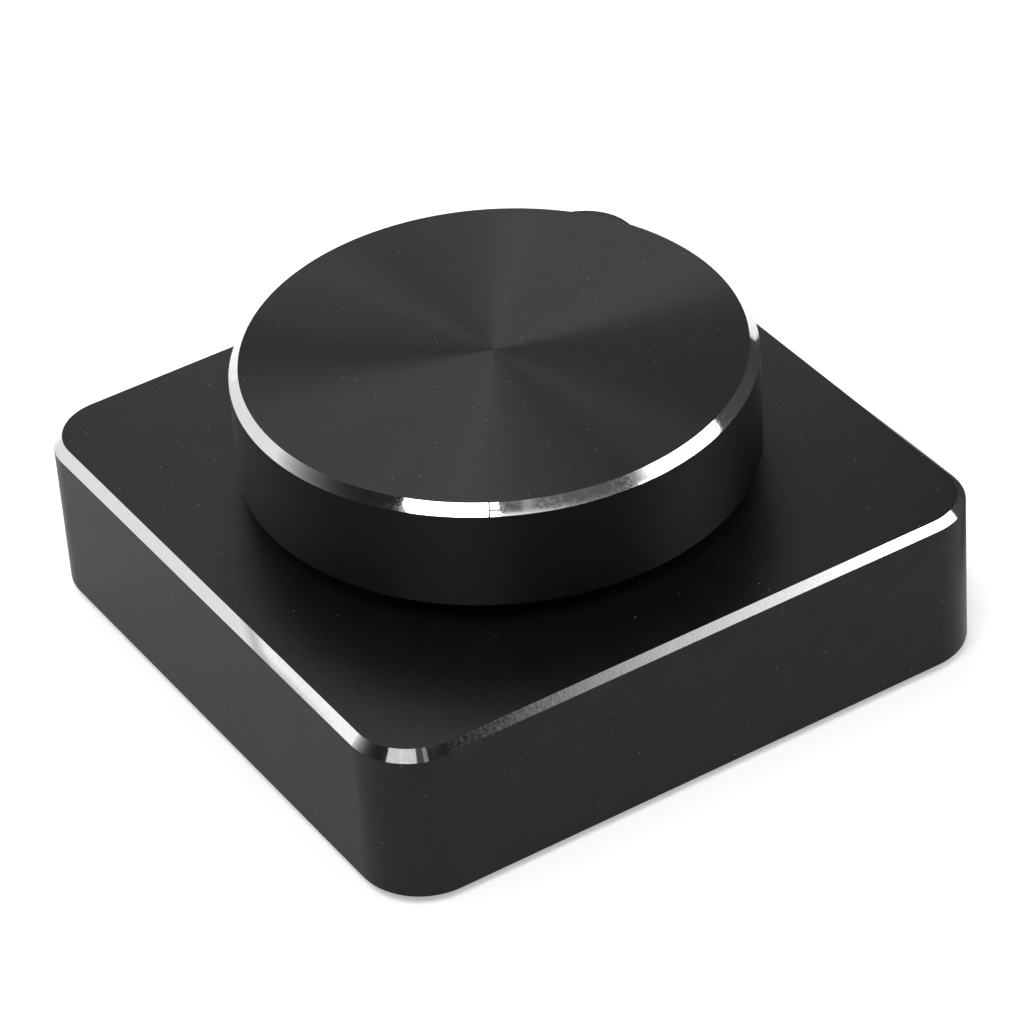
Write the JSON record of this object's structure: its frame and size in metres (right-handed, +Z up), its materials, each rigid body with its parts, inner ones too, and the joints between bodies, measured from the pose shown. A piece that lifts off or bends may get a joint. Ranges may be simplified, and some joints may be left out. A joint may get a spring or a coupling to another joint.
{
  "type": "volume control knob",
  "caption": "Desk volume knob: a round metal knob that turns without stop and presses, on a square hollow metal base with rounded corners and a USB socket behind.",
  "frame": {"origin": "centre of the square base in plan, on the plane that the rubber feet stand on", "axes": "+Z up along the knob's axis, -Y to the front, +Y to the rear wall with the USB socket, +X to the right seen from the front"},
  "size_m": [0.072, 0.072, 0.0328],
  "materials": {
    "base_anodised": "black anodised, finely blasted, with a bright diamond-cut top chamfer",
    "knob_anodised": "black anodised, turned top and satin side, with a bright diamond-cut chamfer",
    "plate_coat": "black powder coat on steel sheet",
    "black_screw_steel": "black zinc plated steel",
    "foot_rubber": "matte black rubber",
    "insert_plastic": "black moulded plastic",
    "shaft_metal": "turned, plain metal",
    "bushing_metal": "zinc alloy die casting with a cut thread",
    "nut_metal": "nickel plated",
    "frame_steel": "bent steel sheet, tin plated",
    "encoder_plastic": "dark moulded plastic",
    "rotor_plastic": "pale moulded acetal",
    "contact_metal": "gold plated contact strip",
    "spring_steel": "stainless spring strip",
    "lead_tin": "tin plated leads",
    "board_laminate": "green solder mask on glass laminate",
    "chip_plastic": "black moulded chip body",
    "crystal_can": "plain metal lid",
    "capacitor_ceramic": "tan ceramic body",
    "socket_steel": "formed stainless sheet",
    "socket_plastic": "black moulded insulator"
  },
  "bodies": {
    "base": {"base_housing": "base_anodised", "bottom_plate": "plate_coat", "plate_screws": "black_screw_steel", "rubber_feet": "foot_rubber", "encoder_bushing": "bushing_metal", "encoder_washer": "nut_metal", "encoder_nut": "nut_metal", "encoder_frame": "frame_steel", "encoder_body": "encoder_plastic", "encoder_detent_spring": "spring_steel", "encoder_brushes": "contact_metal", "encoder_terminals": "lead_tin", "switch_base": "encoder_plastic", "switch_contacts": "contact_metal", "switch_dome": "spring_steel", "circuit_board": "board_laminate", "board_screws": "black_screw_steel", "controller_chip": "chip_plastic", "chip_leads": "lead_tin", "crystal_can": "crystal_can", "voltage_regulator": "chip_plastic", "surge_diode": "chip_plastic", "bulk_capacitor": "capacitor_ceramic", "chip_capacitors": "capacitor_ceramic", "chip_resistors": "chip_plastic", "usb_socket_shell": "socket_steel", "usb_socket_insulator": "socket_plastic", "usb_socket_contacts": "contact_metal"},
    "rotor": {"encoder_rotor": "rotor_plastic", "code_ring": "contact_metal"},
    "knob": {"knob_cap": "knob_anodised", "knob_insert": "insert_plastic", "encoder_shaft": "shaft_metal"}
  },
  "joints": [
    {"name": "knob_turn", "type": "hinge", "parent": "base", "child": "rotor", "pos_m": [0, 0, 0], "axis": [0, 0, 1], "continuous": true},
    {"name": "knob_press", "type": "slide", "parent": "rotor", "child": "knob", "axis": [0, 0, -1], "range_m": [0, 0.0005], "stiffness_N_per_m": 3000, "springref_m": -0.0005, "deforming": ["switch_dome"]}
  ]
}
